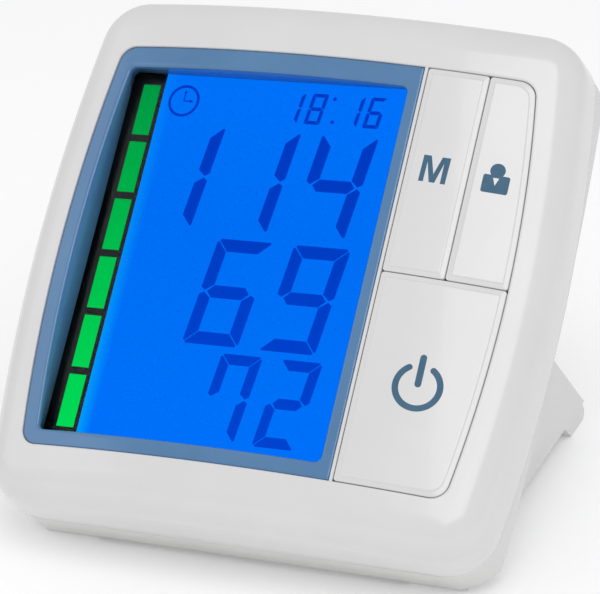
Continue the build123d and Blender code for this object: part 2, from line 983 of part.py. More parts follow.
with BuildPart() as inner_walls:
    add(
        block(
            leg_level(bay_bottom - bay_floor),
            -leg_half_width,
            leg_half_width,
            bay_front - bay_wall,
            bay_back + bay_wall,
            leg_top - bay_bottom + bay_floor,
        )
    )
    add(rod(level(-clear / 2), housing_screw_spots, sleeve_radius, clear / 2 - boss_foot))
    for spot in cradle_spots:
        add(cradle_wall(spot, pump_centre[1] - cradle_half_width))
    for spot in valve_cradle_spots:
        add(cradle_wall(spot, valve_cradle_top))
    add(rear_form(wall / 2), mode=Mode.INTERSECT)

with BuildPart() as rear_housing:
    add(rear_form(0.0))
    split(bisect_by=level(-rim_depth), keep=Keep.BOTTOM)
    tip_edge = rear_housing.edges().filter_by(Axis.X).sort_by(Axis.Y)[-1]
    fillet(tip_edge, tip_round)
    add(rear_form(wall), mode=Mode.SUBTRACT)
    front_foot = foot_profile(sill_y, foot_bottom, 0.0, foot_ramp)
    rear_start = tip_y - rear_foot_bottom - tip_round
    rear_foot = foot_profile(rear_start, rear_foot_bottom, foot_ramp, -tip_round)
    for left in (-leg_half_width, leg_half_width - foot_width):
        extrude(Pos(left, 0, 0) * front_foot, amount=foot_width)
        extrude(Pos(left, 0, 0) * rear_foot, amount=foot_width)
    add(inner_walls.part)
    add(
        block(leg_level(bay_bottom), -bay_half_length, bay_half_length, bay_front, bay_back, clear),
        mode=Mode.SUBTRACT,
    )
    add(
        block(
            leg_level(rebate_floor),
            -bay_half_length - door_ledge / 2,
            bay_half_length + door_ledge / 2,
            bay_front - door_ledge,
            bay_back + door_ledge,
            clear,
        ),
        mode=Mode.SUBTRACT,
    )
    divider_front = bay_rows[0] + cell_radius + cell_clearance
    add(
        block(
            leg_level(bay_bottom),
            -bay_half_length + wall,
            bay_half_length - wall,
            divider_front,
            divider_front + bay_divider,
            cell_radius,
        )
    )
    add(
        rod_x(saddle_left, saddle_right, pump_centre, cushion_radius + cell_clearance),
        mode=Mode.SUBTRACT,
    )
    add(valve_block(port_clearance), mode=Mode.SUBTRACT)
    add(
        rod_x(valve_left, valve_right, yz(air_socket_up, air_socket_depth), tube_outer + screw_recess_clearance),
        mode=Mode.SUBTRACT,
    )
    add(
        rod(level(-screw_seat), housing_screw_spots, screw_radius + screw_recess_clearance, clear / 2),
        mode=Mode.SUBTRACT,
    )
    add(
        rod(
            level(-clear / 2),
            housing_screw_spots,
            screw_head_radius + screw_recess_clearance,
            clear / 2 - screw_seat,
        ),
        mode=Mode.SUBTRACT,
    )
    add(rod(air_plane, [(0, 0)], air_socket_radius + port_clearance, -2 * wall), mode=Mode.SUBTRACT)
    add(rod(jack_plane, [(0, 0)], jack_radius + port_clearance, -2 * wall), mode=Mode.SUBTRACT)

rear_housing.part.label = "rear_housing"
export_step(rear_housing.part, "parts/rear_housing.step")


# Battery cells: two rows of two, the second row turned round
row_end = bay_half_length - contact_thickness


def cell(start, depth, facing):
    """Cell along X whose raised pole points to +X or -X."""
    can = cell_length - cell_nub_height
    plane = Plane(
        origin=face.from_local_coords(Vector(start, cell_up, -depth)),
        x_dir=face.y_dir,
        z_dir=(facing, 0, 0),
    )
    with BuildPart() as body:
        with BuildSketch(plane):
            Circle(cell_radius)
        extrude(amount=can)
        with BuildSketch(plane.offset(can)):
            Circle(cell_nub_radius)
        extrude(amount=cell_nub_height)
    return body.part


with BuildPart() as battery_cell_1:
    add(cell(row_end - cell_length, bay_rows[0], 1))

with BuildPart() as battery_cell_2:
    add(cell(row_end - 2 * cell_length, bay_rows[0], 1))

with BuildPart() as battery_cell_3:
    add(cell(-row_end + cell_length, bay_rows[1], -1))

with BuildPart() as battery_cell_4:
    add(cell(-row_end + 2 * cell_length, bay_rows[1], -1))

battery_cell_1.part.label = "battery_cell_1"
export_step(battery_cell_1.part, "parts/battery_cell_1.step")
battery_cell_2.part.label = "battery_cell_2"
export_step(battery_cell_2.part, "parts/battery_cell_2.step")
battery_cell_3.part.label = "battery_cell_3"
export_step(battery_cell_3.part, "parts/battery_cell_3.step")
battery_cell_4.part.label = "battery_cell_4"
export_step(battery_cell_4.part, "parts/battery_cell_4.step")


# Contacts: one long plate joins the rows at +X, two short ones end them at -X; a
# conical spring stands at the flat pole of each row
def contact_spring(start, depth, facing):
    """Conical spring from an end plate to the flat pole of a cell."""
    plane = Plane(
        origin=face.from_local_coords(Vector(start, cell_up, -depth)),
        x_dir=face.y_dir,
        z_dir=(facing, 0, 0),
    )
    reach = spring_length - 2 * spring_wire
    with BuildPart() as coil:
        with BuildLine() as path:
            Helix(reach / spring_turns, reach, spring_base_radius, cone_angle=spring_lean)
        with BuildSketch(Plane(origin=path.line @ 0, z_dir=path.line % 0)):
            Circle(spring_wire)
        sweep(path=path.line, is_frenet=True)
    return plane.offset(spring_wire).location * coil.part


with BuildPart() as battery_contacts:
    low = cell_up - contact_width / 2
    add(
        block(
            leg_level(low),
            row_end,
            bay_half_length,
            bay_rows[0] - contact_width / 2,
            bay_rows[1] + contact_width / 2,
            contact_width,
        )
    )
    add(
        block(
            leg_level(bay_bottom + cell_radius),
            row_end,
            bay_half_length,
            divider_front - cell_clearance,
            divider_front + bay_divider + cell_clearance,
            cell_radius / 2,
        )
    )
    for depth in bay_rows:
        add(
            block(
                leg_level(low),
                -bay_half_length,
                -row_end,
                depth - contact_width / 2,
                depth + contact_width / 2,
                contact_width,
            )
        )

with BuildPart() as battery_springs:
    add(contact_spring(-row_end, bay_rows[0], 1))
    add(contact_spring(row_end, bay_rows[1], -1))

battery_contacts.part.label = "battery_contacts"
export_step(battery_contacts.part, "parts/battery_contacts.step")
battery_springs.part.label = "battery_springs"
export_step(battery_springs.part, "parts/battery_springs.step")


# Battery door: flush plate in the back of the leg, with two lips inside the bay and
# a ribbed finger grip near its lower edge
door_floor = rebate_floor + door_gap
door_front = bay_front - door_ledge + door_gap
door_back = bay_back + door_ledge - door_gap
door_half = bay_half_length + door_ledge / 2 - door_gap
grip_depth = door_back - door_grip_from_edge

with BuildPart() as battery_door:
    add(block(leg_level(door_floor), -door_half, door_half, door_front, door_back, leg_top - door_floor))
    for lip_front in (bay_front + door_gap, bay_back - door_gap - door_lip_thickness):
        add(
            block(
                leg_level(door_floor - door_lip_depth),
                -door_lip_half,
                door_lip_half,
                lip_front,
                lip_front + door_lip_thickness,
                door_lip_depth,
            )
        )
    with BuildSketch(leg_level(leg_top - door_grip_depth)):
        with Locations((0, grip_depth)):
            with GridLocations(0, door_grip_pitch, 1, door_grip_count):
                SlotOverall(2 * door_grip_half, door_grip_width)
    extrude(amount=clear, mode=Mode.SUBTRACT)

battery_door.part.label = "battery_door"
export_step(battery_door.part, "parts/battery_door.step")


# Air pump: motor can with two magnets, rotor with its shaft, crank and pump head with
# a rubber diaphragm, all on one axis along X, in a rubber cushion
def ring_x(start, end, centre, outer, inner):
    """Tube along X."""
    with BuildPart() as tube:
        add(rod_x(start, end, centre, outer))
        add(rod_x(start, end, centre, inner), mode=Mode.SUBTRACT)
    return tube.part


can_inner = pump_radius - pump_skin

with BuildPart() as motor_can:
    add(rod_x(can_left, can_right, pump_centre, pump_radius))
    add(rod_x(can_left + pump_skin, can_right - pump_skin, pump_centre, can_inner), mode=Mode.SUBTRACT)
    add(rod_x(can_left, can_right, pump_centre, shaft_radius + shaft_clearance), mode=Mode.SUBTRACT)

with BuildPart() as motor_magnets:
    slot_up = pump_centre[1]
    magnet_left = can_left + magnet_margin
    magnet_right = can_right - magnet_margin
    add(ring_x(magnet_left, magnet_right, pump_centre, can_inner, can_inner - magnet_thickness))
    with BuildSketch(Plane.YZ.offset(magnet_left)):
        with Locations(pump_centre):
            Rectangle(magnet_slot, 2 * pump_radius)
    extrude(amount=magnet_right - magnet_left, mode=Mode.SUBTRACT)

with BuildPart() as pump_rotor:
    add(rod_x(crank_left, can_right + shaft_end, pump_centre, shaft_radius))
    add(rod_x(can_left + armature_margin, can_right - armature_margin, pump_centre, armature_radius))

with BuildPart() as pump_crank:
    add(ring_x(crank_left, crank_left + crank_width, pump_centre, crank_radius, shaft_radius))
    pin_centre = (pump_centre[0], pump_centre[1] + crank_pin_offset)
    add(rod_x(crank_left - crank_pin_length, crank_left, pin_centre, crank_pin_radius))

with BuildPart() as pump_diaphragm:
    add(rod_x(head_cavity_left, head_cavity_left + diaphragm_thickness, pump_centre, head_cavity_radius))
    with BuildSketch(Plane.YZ.offset(head_cavity_left + diaphragm_thickness)):
        with Locations(pump_centre):
            with PolarLocations(diaphragm_cup_ring, 3):
                Circle(diaphragm_cup_radius)
    extrude(amount=diaphragm_cup_height)

with BuildPart() as pump_head:
    add(rod_x(head_left, can_left, pump_centre, pump_radius))
    add(rod_x(head_left - nozzle_length, head_left, pump_centre, nozzle_radius))
    add(rod_x(head_cavity_left, can_left, pump_centre, head_cavity_radius), mode=Mode.SUBTRACT)
    add(rod_x(head_left - nozzle_length, head_cavity_left, pump_centre, nozzle_bore), mode=Mode.SUBTRACT)

with BuildPart() as pump_cushion:
    add(ring_x(saddle_left, saddle_right, pump_centre, cushion_radius, pump_radius))

motor_can.part.label = "motor_can"
export_step(motor_can.part, "parts/motor_can.step")
motor_magnets.part.label = "motor_magnets"
export_step(motor_magnets.part, "parts/motor_magnets.step")
pump_rotor.part.label = "pump_rotor"
export_step(pump_rotor.part, "parts/pump_rotor.step")
pump_crank.part.label = "pump_crank"
export_step(pump_crank.part, "parts/pump_crank.step")
pump_diaphragm.part.label = "pump_diaphragm"
export_step(pump_diaphragm.part, "parts/pump_diaphragm.step")
pump_head.part.label = "pump_head"
export_step(pump_head.part, "parts/pump_head.step")
pump_cushion.part.label = "pump_cushion"
export_step(pump_cushion.part, "parts/pump_cushion.step")


# Release valve: steel yoke with an outlet nozzle and a seat, coil, sprung core
yoke_left = valve_left + yoke_thickness
yoke_right = valve_right - yoke_thickness
core_hole = core_radius + core_clearance
seat_face = yoke_right - seat_length
core_right = seat_face - core_rest_gap
cap_right = valve_left - core_cap_gap
cap_left = cap_right - core_cap_thickness

with BuildPart() as valve_yoke:
    add(valve_block(0.0))
    add(
        block(
            leg_level(pump_up - valve_half_height + yoke_thickness),
            yoke_left,
            yoke_right,
            0,
            clear,
            2 * (valve_half_height - yoke_thickness),
        ),
        mode=Mode.SUBTRACT,
    )
    add(rod_x(valve_left, yoke_left, pump_centre, core_hole), mode=Mode.SUBTRACT)
    add(rod_x(seat_face, yoke_right, pump_centre, seat_radius))
    add(rod_x(valve_right, valve_right + valve_nozzle_length, pump_centre, nozzle_radius))
    add(rod_x(seat_face, valve_right + valve_nozzle_length, pump_centre, nozzle_bore), mode=Mode.SUBTRACT)

with BuildPart() as valve_coil:
    add(ring_x(yoke_left, yoke_right, pump_centre, core_hole + coil_end, core_hole))
    add(ring_x(yoke_left + coil_end, yoke_right - coil_end, pump_centre, coil_radius, core_hole))

with BuildPart() as valve_core:
    add(rod_x(cap_right, core_right, pump_centre, core_radius))
    add(rod_x(cap_left, cap_right, pump_centre, core_cap_radius))

valve_yoke.part.label = "valve_yoke"
export_step(valve_yoke.part, "parts/valve_yoke.step")
valve_coil.part.label = "valve_coil"
export_step(valve_coil.part, "parts/valve_coil.step")
valve_core.part.label = "valve_core"
export_step(valve_core.part, "parts/valve_core.step")


# Air lines: manifold between pump, valve, sensor and socket, with a slow leak valve
# on top, and the rubber tubes that join them
def tube_along(path, centre_plane):
    """Tube along a line, bored through."""
    with BuildPart() as tube:
        with BuildSketch(centre_plane):
            Circle(tube_outer)
            Circle(tube_bore, mode=Mode.SUBTRACT)
        sweep(path=path)
    return tube.part


manifold_x = (manifold_left + manifold_right) / 2
manifold_top = pump_up + manifold_half
manifold_foot = pump_up - manifold_half

with BuildPart() as air_manifold:
    add(
        block(
            leg_level(manifold_foot),
            manifold_left,
            manifold_right,
            pump_depth - manifold_half,
            pump_depth + manifold_half,
            2 * manifold_half,
        )
    )
    add(rod_x(manifold_left - branch_length, manifold_right + branch_length, pump_centre, nozzle_radius))
    add(rod(leg_level(manifold_foot), [(manifold_x, pump_depth)], nozzle_radius, -branch_length))
    add(
        rod(
            level(-pump_depth + manifold_half),
            [(manifold_x, pump_up)],
            nozzle_radius,
            branch_length,
        )
    )
    add(
        rod_x(manifold_left - branch_length, manifold_right + branch_length, pump_centre, nozzle_bore),
        mode=Mode.SUBTRACT,
    )
    add(
        rod(leg_level(pump_up), [(manifold_x, pump_depth)], nozzle_bore, -manifold_half - branch_length),
        mode=Mode.SUBTRACT,
    )
    add(
        rod(level(-pump_depth), [(manifold_x, pump_up)], nozzle_bore, manifold_half + branch_length),
        mode=Mode.SUBTRACT,
    )

with BuildPart() as leak_valve:
    with BuildSketch(leg_level(manifold_top)):
        with Locations((manifold_x, pump_depth)):
            Circle(leak_radius)
    extrude(amount=leak_length)
    with BuildSketch(leg_level(manifold_top + leak_length - leak_screw_depth)):
        with Locations((manifold_x, pump_depth)):
            Circle(leak_screw_radius)
    extrude(amount=leak_screw_depth, mode=Mode.SUBTRACT)

inner_end = -leg_half_width + air_socket_length
tube_plane = Plane(
    origin=face.from_local_coords(Vector(manifold_x, pump_up, -pump_depth)),
    x_dir=(1, 0, 0),
    z_dir=face.z_dir,
)
with BuildPart() as air_tubes:
    add(ring_x(manifold_right + tube_end_gap, head_left - tube_end_gap, pump_centre, tube_outer, tube_bore))
    add(ring_x(valve_right + tube_end_gap, manifold_left - tube_end_gap, pump_centre, tube_outer, tube_bore))
    sensor_low = display_depth - board_bottom + sensor_height
    with BuildSketch(level(-pump_depth + manifold_half + tube_end_gap)):
        with Locations((manifold_x, pump_up)):
            Circle(tube_outer)
            Circle(tube_bore, mode=Mode.SUBTRACT)
    extrude(amount=pump_depth - manifold_half - sensor_low - 6 * tube_end_gap)
    with BuildLine(tube_plane) as tube_path:
        FilletPolyline(
            (0, -manifold_half - tube_end_gap),
            (0, air_socket_up - pump_up),
            (inner_end + tube_end_gap - manifold_x, air_socket_up - pump_up),
            radius=tube_bend,
        )
    with BuildSketch(leg_level(manifold_foot - tube_end_gap)):
        with Locations((manifold_x, pump_depth)):
            Circle(tube_outer)
            Circle(tube_bore, mode=Mode.SUBTRACT)
    sweep(path=tube_path.line)

air_manifold.part.label = "air_manifold"
export_step(air_manifold.part, "parts/air_manifold.step")
leak_valve.part.label = "leak_valve"
export_step(leak_valve.part, "parts/leak_valve.step")
air_tubes.part.label = "air_tubes"
export_step(air_tubes.part, "parts/air_tubes.step")


# Sockets in the left side of the leg: one for the cuff hose, one for a mains adapter
with BuildPart() as air_socket:
    add(rod(air_plane, [(0, 0)], air_socket_radius, -air_socket_length))
    add(rod(air_plane, [(0, 0)], air_socket_flange_radius, air_socket_flange_height))
    add(rod(air_plane.offset(-air_socket_length), [(0, 0)], nozzle_radius, -branch_length))
    mouth = air_plane.offset(air_socket_flange_height)
    add(rod(mouth, [(0, 0)], air_socket_bore, -air_socket_bore_length), mode=Mode.SUBTRACT)
    add(rod(mouth, [(0, 0)], nozzle_bore, -clear), mode=Mode.SUBTRACT)

with BuildPart() as power_jack:
    add(rod(jack_plane, [(0, 0)], jack_radius, -jack_length))
    add(rod(jack_plane, [(0, 0)], jack_flange_radius, jack_flange_height))
    jack_mouth = jack_plane.offset(jack_flange_height)
    add(rod(jack_mouth, [(0, 0)], jack_bore, -jack_bore_depth), mode=Mode.SUBTRACT)
    add(rod(jack_mouth.offset(-jack_bore_depth), [(0, 0)], jack_pin_radius, jack_bore_depth - 1))

air_socket.part.label = "air_socket"
export_step(air_socket.part, "parts/air_socket.step")
power_jack.part.label = "power_jack"
export_step(power_jack.part, "parts/power_jack.step")
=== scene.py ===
import json
import math

import bpy
import bmesh
import numpy as np
from mathutils import Matrix, Vector


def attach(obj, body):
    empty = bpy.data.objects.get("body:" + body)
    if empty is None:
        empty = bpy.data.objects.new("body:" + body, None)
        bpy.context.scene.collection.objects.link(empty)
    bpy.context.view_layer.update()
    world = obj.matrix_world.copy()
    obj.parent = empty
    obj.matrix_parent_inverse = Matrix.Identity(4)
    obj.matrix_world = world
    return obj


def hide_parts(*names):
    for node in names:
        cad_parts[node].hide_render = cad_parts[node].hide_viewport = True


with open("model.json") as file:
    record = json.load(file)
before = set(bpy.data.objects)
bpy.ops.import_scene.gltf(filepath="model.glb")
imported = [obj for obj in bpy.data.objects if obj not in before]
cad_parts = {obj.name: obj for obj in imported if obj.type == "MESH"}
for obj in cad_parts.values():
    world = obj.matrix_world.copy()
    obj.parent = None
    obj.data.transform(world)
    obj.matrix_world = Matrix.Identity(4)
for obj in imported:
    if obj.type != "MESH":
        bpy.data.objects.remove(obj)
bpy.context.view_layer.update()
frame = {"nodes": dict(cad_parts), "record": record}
nodes = frame["nodes"]

# The whole monitor leans back. Its face is a shallow cylinder, and every place on it
# is given in millimetres as x to the right, u up the slope and n out of the crown.
LEAN = math.radians(46.2)
FACE_ORIGIN = Vector((0.0, -11.81, 71.0))
FACE_AXES = Matrix((
    (1, 0, 0),
    (0, math.sin(LEAN), -math.cos(LEAN)),
    (0, math.cos(LEAN), math.sin(LEAN)),
))
FACE_RADIUS = 287.0


def to_world(points):
    """World places in metres of points given as x, u, n in millimetres."""
    local = np.asarray(points, float).reshape(-1, 3)
    return (local @ np.array(FACE_AXES).T + np.array(FACE_ORIGIN)) / 1000


def face_n(x, sink=0.0):
    """Height of the curved face at x, lowered by sink."""
    return -FACE_RADIUS + np.sqrt((FACE_RADIUS - sink) ** 2 - np.square(x))


def mesh_piece(name, points, faces, smooth=True):
    """Object from points in metres and faces, with its normals turned outward."""
    mesh = bpy.data.meshes.new(name)
    mesh.from_pydata([tuple(p) for p in points], [], [tuple(f) for f in faces])
    shape = bmesh.new()
    shape.from_mesh(mesh)
    bmesh.ops.remove_doubles(shape, verts=shape.verts, dist=1e-7)
    bmesh.ops.recalc_face_normals(shape, faces=shape.faces)
    for f in shape.faces:
        f.smooth = smooth
    shape.to_mesh(mesh)
    shape.free()
    piece = bpy.data.objects.new(name, mesh)
    bpy.context.scene.collection.objects.link(piece)
    return piece


class Flow:
    """One shader socket; arithmetic on it adds Math nodes."""

    def __init__(self, tree, socket):
        self.tree, self.socket = tree, socket

    def math(self, operation, *values):
        node = self.tree.nodes.new("ShaderNodeMath")
        node.operation = operation
        for slot, value in zip(node.inputs, (self,) + values):
            if isinstance(value, Flow):
                self.tree.links.new(value.socket, slot)
            else:
                slot.default_value = value
        return Flow(self.tree, node.outputs[0])

    def __add__(self, other): return self.math("ADD", other)
    def __sub__(self, other): return self.math("SUBTRACT", other)
    def __mul__(self, other): return self.math("MULTIPLY", other)
    def __rsub__(self, other): return self.math("MULTIPLY", -1.0).math("ADD", other)


class Finish:
    """A material and the one method that adds any node to it."""

    def __init__(self, name, **shader):
        self.material = bpy.data.materials.new(name)
        self.material.use_nodes = True
        self.tree = self.material.node_tree
        self.tree.nodes.clear()
        output = self.tree.nodes.new("ShaderNodeOutputMaterial")
        self.shader = self.tree.nodes.new("ShaderNodeBsdfPrincipled")
        self.tree.links.new(self.shader.outputs[0], output.inputs["Surface"])
        for socket, value in shader.items():
            self.shader.inputs[socket.replace("_", " ")].default_value = value
        self.place = self.node("ShaderNodeTexCoord", "Object")

    def node(self, kind, out, stops=(), **values):
        node = self.tree.nodes.new(kind)
        for i, (at, colour) in enumerate(stops):
            elements = node.color_ramp.elements
            if i == len(elements):
                elements.new(at)
            elements[i].position, elements[i].color = at, colour
        for socket, value in values.items():
            slot = node.inputs[socket.replace("_", " ")]
            if isinstance(value, Flow):
                self.tree.links.new(value.socket, slot)
            else:
                slot.default_value = value
        return Flow(self.tree, node.outputs[out])

    def noise(self, scale, detail=3.0, roughness=0.5):
        return self.node("ShaderNodeTexNoise", "Fac", Vector=self.place,
                         Scale=scale, Detail=detail, Roughness=roughness)

    def ramp(self, value, *stops):
        return self.node("ShaderNodeValToRGB", "Color", stops, Fac=value)

    def feed(self, **values):
        for socket, value in values.items():
            self.tree.links.new(value.socket, self.shader.inputs[socket.replace("_", " ")])

    def bump(self, height, strength, distance):
        self.feed(Normal=self.node("ShaderNodeBump", "Normal", Strength=strength, Distance=distance, Height=height))

    def put(self, piece):
        piece.data.materials.clear()
        piece.data.materials.append(self.material)
        return piece


def grey(level):
    return (level, level, level, 1)


def moulded(name, low, high, roughness, spread, grain, depth, coat=0.0):
    """Moulded plastic: mottled from low to high, with roughness that varies by spread
    and a skin of fine grain, depth metres deep."""
    finish = Finish(name, Coat_Weight=coat, Coat_Roughness=0.06, Specular_IOR_Level=0.5)
    finish.feed(Base_Color=finish.ramp(finish.noise(38.0, 4.0, 0.6), (0.3, low), (0.7, high)))
    finish.feed(Roughness=finish.noise(90.0, 3.0) * spread + (roughness - spread / 2))
    finish.bump(finish.noise(grain, 2.0), 0.25, depth)
    return finish


# Front housing: one glossy white moulding with a shallow curved face, bowed sides and
# a rolled rim. A wall round the panel opening guides the keys, and a thin rib stands
# between the display frame and the keys.
RIM = dict(half=68.89, top=68.59, bottom=67.39, bow=420.0, corner=13.0)
OPENING = dict(half=59.0, top=53.2, bottom=53.2, bow=352.0, corner=4.5)
RIM_DEPTH = 22.0
RIM_ROUND = 9.5
DRAFT = math.radians(2.0)
SHELL = 2.2
WELL_DEPTH = 4.5
WELL_WALL = 1.4
PARTING_EDGE = 0.12


def outline(half, top, bottom, bow, corner):
    """Closed outline with bowed sides: points and outward directions in x, u."""
    points, ways = [], []

    def turn(cx, cu, radius, start, end, count):
        for a in np.linspace(start, end, count):
            points.append((cx + radius * math.cos(a), cu + radius * math.sin(a)))
            ways.append((math.cos(a), math.sin(a)))

    low_u, high_u = -(bottom - corner), top - corner
    low_x = half - bow + math.sqrt((bow - corner) ** 2 - low_u ** 2)
    high_x = half - bow + math.sqrt((bow - corner) ** 2 - high_u ** 2)
    low_a = math.atan2(low_u, low_x - (half - bow))
    high_a = math.atan2(high_u, high_x - (half - bow))
    for x in np.linspace(0, low_x, 26)[:-1]:
        points.append((x, -bottom))
        ways.append((0, -1))
    turn(low_x, low_u, corner, -math.pi / 2, low_a, 14)
    turn(half - bow, 0, bow, low_a, high_a, 44)
    turn(high_x, high_u, corner, high_a, math.pi / 2, 14)
    for x in np.linspace(high_x, 0, 26)[1:]:
        points.append((x, top))
        ways.append((0, 1))
    right, way = np.array(points), np.array(ways, float)
    left = right[::-1][1:-1] * (-1, 1)
    left_way = way[::-1][1:-1] * (-1, 1)
    return np.r_[right, left], np.r_[way, left_way]


def on_face(flat, sink=0.0):
    """Ring of points laid on the curved face."""
    return np.c_[flat, face_n(flat[:, 0], sink)]


def loft(rings, closed=False):
    """Points and faces of a skin through rings of equal length."""
    count = len(rings[0])
    faces = []
    last = len(rings) if closed else len(rings) - 1
    for i in range(last):
        j = (i + 1) % len(rings)
        for k in range(count):
            m = (k + 1) % count
            faces.append((i * count + k, i * count + m, j * count + m, j * count + k))
    return np.concatenate(rings), faces


def rim_rings(inset, steps):
    """Rings over the rolled rim, from the face down towards the parting plane. The arc
    belongs to a ball that rolls between the curved face and the drafted side, and its
    centre takes a few turns to settle."""
    rim, way = outline(**RIM)
    radius = RIM_ROUND - inset
    depth = np.full(len(rim), -RIM_ROUND)
    for _ in range(4):
        centre = rim - way * ((inset + radius + (depth + RIM_DEPTH) * math.tan(DRAFT))[:, None])
        depth = -FACE_RADIUS + np.sqrt((FACE_RADIUS - inset - radius) ** 2 - centre[:, 0] ** 2)
    hub = np.c_[centre, depth]
    up = np.c_[centre[:, 0], np.zeros(len(rim)), depth + FACE_RADIUS]
    up /= np.linalg.norm(up, axis=1)[:, None]
    out = np.c_[way * math.cos(DRAFT), np.full(len(rim), math.sin(DRAFT))]
    angle = np.arccos(np.clip((up * out).sum(1), -1, 1))[:, None]
    rings = []
    for t in np.linspace(0, 1, steps):
        rings.append(hub + radius * (np.sin((1 - t) * angle) * up + np.sin(t * angle) * out) / np.sin(angle))
    wall_foot = np.c_[rim - way * inset, np.full(len(rim), -RIM_DEPTH)]
    for t in (0.35, 0.7, 0.96):
        rings.append(rings[steps - 1] * (1 - t) + wall_foot * t)
    return rings, wall_foot


outer, outer_foot = rim_rings(0.0, 15)
inner, inner_foot = rim_rings(SHELL, 5)
opening, opening_way = outline(**OPENING)
crown = outer[0][:, :2]
# Pairs of growth and sink, up the wall of the opening and over its softened edge.
OPENING_EDGE = ((0.0, WELL_DEPTH), (0.0, 0.35), (0.08, 0.12), (0.3, 0.0))
rings =[on_face(opening + opening_way * grow, sink) for grow, sink in OPENING_EDGE]
edge = opening + opening_way * 0.6
for t in np.linspace(0, 1, 9)[:-1]:
    rings.append(on_face(edge * (1 - t) + crown * t))
rings += outer
rings.append(outer_foot + np.c_[-PARTING_EDGE * outline(**RIM)[1], np.zeros(len(opening))])
rings.append(inner_foot)
rings += inner[::-1]
under = opening + opening_way * WELL_WALL
rings.append(on_face(under + opening_way * 0.6, SHELL))
rings.append(on_face(under, SHELL + 0.5))
rings.append(on_face(under, WELL_DEPTH))
points, faces = loft(rings, closed=True)
front = mesh_piece("front_shell", to_world(points), faces)

RIB_LEFT, RIB_RIGHT = 27.4, 28.2
RIB_REACH = 54.0
RIB_SINK = 0.15
rib_side = [
    (RIB_LEFT, WELL_DEPTH), (RIB_LEFT, 2 * RIB_SINK), (RIB_LEFT + RIB_SINK, RIB_SINK),
    (RIB_RIGHT - RIB_SINK, RIB_SINK), (RIB_RIGHT, 2 * RIB_SINK), (RIB_RIGHT, WELL_DEPTH),
]
points, faces = loft([np.array([(x, u, face_n(x, sink)) for x, sink in rib_side]) for u in (-RIB_REACH, RIB_REACH)])
count = len(rib_side)
faces += [tuple(range(count)), tuple(range(count, 2 * count))]
rib = mesh_piece("display_rib", to_world(points), faces, smooth=False)

shell_white = moulded("glossy_white_shell", (0.69, 0.682, 0.682, 1), (0.715, 0.707, 0.707, 1),
                      0.22, 0.05, 900.0, 0.00001, coat=0.35)
for piece in (front, rib):
    shell_white.put(piece)
    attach(piece, "housing")
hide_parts("front_housing")


# Display bezel: a steel blue moulding that follows the curved face, with a well that
# drops to the window. It snaps into the opening, half a millimetre below the shell.
BEZEL_RIGHT = 27.3
BEZEL_SINK = 0.5
BEZEL_DEPTH = 3.2
BEZEL_SKIN = 1.6
BEZEL_WALL = 1.2
APERTURE = (-51.5, 24.1, -49.0, 47.7)
APERTURE_CORNER = 1.6
LIP_LEFT = 54.6
LIP_BOW = 350.0
LIP_ROUND = 0.8
STRAIGHT = 1e5
WINDOW_TOP = 1.65
DISPLAY_X = -15.0
DISPLAY_DEPTH = 7.9
DISPLAY_TURN = math.radians(3.83)


def display_points(local):
    """Face places of points given as x, u, w on the display's own plane."""
    p = np.asarray(local, float).reshape(-1, 3)
    c, s = math.cos(DISPLAY_TURN), math.sin(DISPLAY_TURN)
    x = DISPLAY_X + p[:, 0] * c - p[:, 2] * s
    return np.c_[x, p[:, 1], -DISPLAY_DEPTH + p[:, 0] * s + p[:, 2] * c]


def on_window(flat):
    """Ring of points dropped straight onto a plane just over the window."""
    s, c = math.sin(DISPLAY_TURN), math.cos(DISPLAY_TURN)
    along = (flat[:, 0] - DISPLAY_X + WINDOW_TOP * s) / c
    return np.c_[flat, -DISPLAY_DEPTH + along * s + WINDOW_TOP * c]


def arc(x, u, radius, start, end, count):
    """Points of an arc about x, u; start and end are in radians."""
    return [(x + radius * math.cos(a), u + radius * math.sin(a)) for a in np.linspace(start, end, count)]


def cornered(left, right, bottom, top, bow, radii, count=33, half=6):
    """Four sides of count points, each from mid corner to mid corner, the right one
    bowed. They are the bottom, right, top and left side, and run right or up. Radii
    are for the corners bottom left, bottom right, top right and top left, and half
    a corner has half points."""
    r_bl, r_br, r_tr, r_tl = (max(r, 0.05) for r in radii)
    hub = right - bow
    br_x = hub + math.sqrt((bow - r_br) ** 2 - (bottom + r_br) ** 2)
    tr_x = hub + math.sqrt((bow - r_tr) ** 2 - (top - r_tr) ** 2)
    br_a = math.atan2(bottom + r_br, br_x - hub)
    tr_a = math.atan2(top - r_tr, tr_x - hub)
    br_mid, tr_mid = (-math.pi / 2 + br_a) / 2, (math.pi / 2 + tr_a) / 2
    bl, br = (left + r_bl, bottom + r_bl, r_bl), (br_x, bottom + r_br, r_br)
    tl, tr = (left + r_tl, top - r_tl, r_tl), (tr_x, top - r_tr, r_tr)
    quarter = math.pi / 4
    mid = count - 2 * (half - 1)
    low = np.r_[arc(*bl, 5 * quarter, 6 * quarter, half)[:-1],
                np.linspace((bl[0], bottom), (br_x, bottom), mid),
                arc(*br, -math.pi / 2, br_mid, half)[1:]]
    right_side = np.r_[arc(*br, br_mid, br_a, half)[:-1],
                       arc(hub, 0, bow, br_a, tr_a, mid),
                       arc(*tr, tr_a, tr_mid, half)[1:]]
    high = np.r_[arc(*tl, 3 * quarter, 2 * quarter, half)[:-1],
                 np.linspace((tl[0], top), (tr_x, top), mid),
                 arc(*tr, math.pi / 2, tr_mid, half)[1:]]
    left_side = np.r_[arc(*bl, 5 * quarter, 4 * quarter, half)[:-1],
                      np.linspace((left, bl[1]), (left, tl[1]), mid),
                      arc(*tl, 4 * quarter, 3 * quarter, half)[1:]]
    return low, right_side, high, left_side


